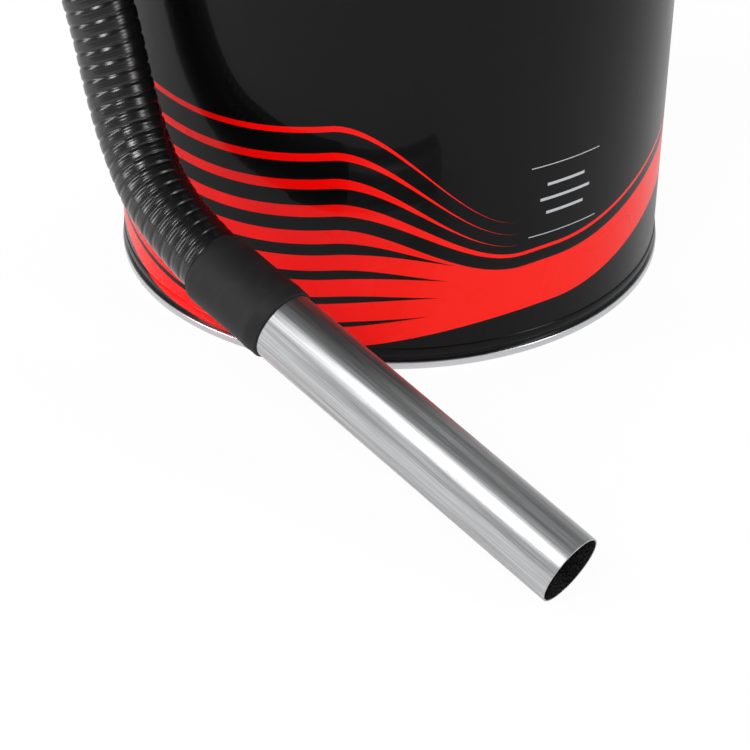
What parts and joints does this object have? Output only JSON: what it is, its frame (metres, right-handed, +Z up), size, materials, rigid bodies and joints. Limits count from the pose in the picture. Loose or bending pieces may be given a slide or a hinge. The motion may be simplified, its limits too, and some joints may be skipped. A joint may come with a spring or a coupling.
{
  "type": "canister blower",
  "caption": "Canister blower for drying cars: steel drum with intake filter, motor head with carry handle, over-centre latches, ribbed hose and straight metal nozzle.",
  "frame": {"origin": "centre of the drum's foot rim on the floor", "axes": "+Z up along the drum, -Y towards the side that the nozzle lies on, +X to the right of that side"},
  "size_m": [0.3749, 0.5125, 0.4945],
  "materials": {
    "drum_enamel": "gloss baked enamel on steel",
    "rim_steel": "bright plated steel",
    "plated_steel": "zinc plated pressed steel",
    "nozzle_metal": "drawn and brushed tube",
    "head_plastic": "fine moulded texture",
    "grip_rubber": "soft matt",
    "black_rubber": "satin",
    "hose_plastic": "gloss ribbed",
    "switch_red": "gloss",
    "black_plastic": "gloss moulded",
    "seal_foam": "matt",
    "motor_steel": "pressed",
    "motor_iron": "laminated",
    "winding_copper": "enamelled wire",
    "brush_carbon": "matt",
    "fan_aluminium": "spun",
    "capacitor_case": "gloss",
    "filter_paper": "pleated",
    "filter_plastic": "moulded"
  },
  "bodies": {
    "machine": {"air_guide": "fan_aluminium", "bearing_lower": "motor_steel", "bearing_upper": "motor_steel", "blow_port": "head_plastic", "brush_holders": "black_plastic", "brushes": "brush_carbon", "capacitor": "capacitor_case", "carry_handle": "head_plastic", "cord_gland": "black_plastic", "cover_screws": "plated_steel", "drum_floor": "rim_steel", "drum_gasket": "seal_foam", "drum_shell": "drum_enamel", "fan_casing": "motor_steel", "field_coils": "winding_copper", "filter_cage": "filter_plastic", "filter_cap": "filter_plastic", "filter_cartridge": "filter_paper", "filter_nut": "plated_steel", "handle_grip": "grip_rubber", "handle_screws": "plated_steel", "head_base": "head_plastic", "head_cover": "head_plastic", "head_plate": "head_plastic", "hose": "hose_plastic", "hose_connector": "black_rubber", "intake_collar": "black_plastic", "intake_guard": "plated_steel", "intake_rivets": "plated_steel", "latch_base_left": "plated_steel", "latch_base_right": "plated_steel", "latch_hook_left": "plated_steel", "latch_hook_right": "plated_steel", "latch_pins": "plated_steel", "latch_rivets": "plated_steel", "motor_bracket": "motor_steel", "motor_cushion": "seal_foam", "nozzle_cuff": "black_rubber", "plate_screws": "plated_steel", "port_gasket": "seal_foam", "port_screws": "plated_steel", "stator_core": "motor_iron", "switch_bezel": "black_plastic", "switch_body": "black_plastic"},
    "rotor": {"motor_shaft": "motor_steel", "fan_nut": "plated_steel", "fan_wheel": "fan_aluminium", "armature": "motor_iron", "commutator": "winding_copper", "cooling_fan": "fan_aluminium"},
    "rocker": {"switch_rocker": "switch_red"},
    "lever_left": {"latch_lever_left": "plated_steel"},
    "lever_right": {"latch_lever_right": "plated_steel"},
    "bail_left": {"latch_bail_left": "plated_steel"},
    "bail_right": {"latch_bail_right": "plated_steel"},
    "nozzle": {"nozzle_tube": "nozzle_metal"}
  },
  "joints": [
    {"name": "rotor_spin", "type": "hinge", "parent": "machine", "child": "rotor", "pos_m": [0, 0, 0.36], "axis": [0, 0, 1], "continuous": true},
    {"name": "switch_rock", "type": "hinge", "parent": "machine", "child": "rocker", "pos_m": [0, -0.058, 0.4365], "axis": [1, 0, 0], "range_deg": [-20, 0]},
    {"name": "latch_left", "type": "hinge", "parent": "machine", "child": "lever_left", "pos_m": [-0.168, 0, 0.262], "axis": [0, 1, 0], "range_deg": [0, 70]},
    {"name": "latch_right", "type": "hinge", "parent": "machine", "child": "lever_right", "pos_m": [0.168, 0, 0.262], "axis": [0, -1, 0], "range_deg": [0, 70]},
    {"name": "bail_left_swing", "type": "hinge", "parent": "lever_left", "child": "bail_left", "pos_m": [-0.1665, 0, 0.246], "axis": [0, 1, 0], "range_deg": [-57, 0]},
    {"name": "bail_right_swing", "type": "hinge", "parent": "lever_right", "child": "bail_right", "pos_m": [0.1665, 0, 0.246], "axis": [0, -1, 0], "range_deg": [-57, 0]},
    {"name": "nozzle_twist", "type": "hinge", "parent": "machine", "child": "nozzle", "pos_m": [0.0767, -0.336, 0.01673], "axis": [0.7114, -0.6383, -0.294], "continuous": true}
  ],
  "couplings": [
    {"joint": "bail_left_swing", "follows": "latch_left", "ratio": -0.81},
    {"joint": "bail_right_swing", "follows": "latch_right", "ratio": -0.81}
  ]
}
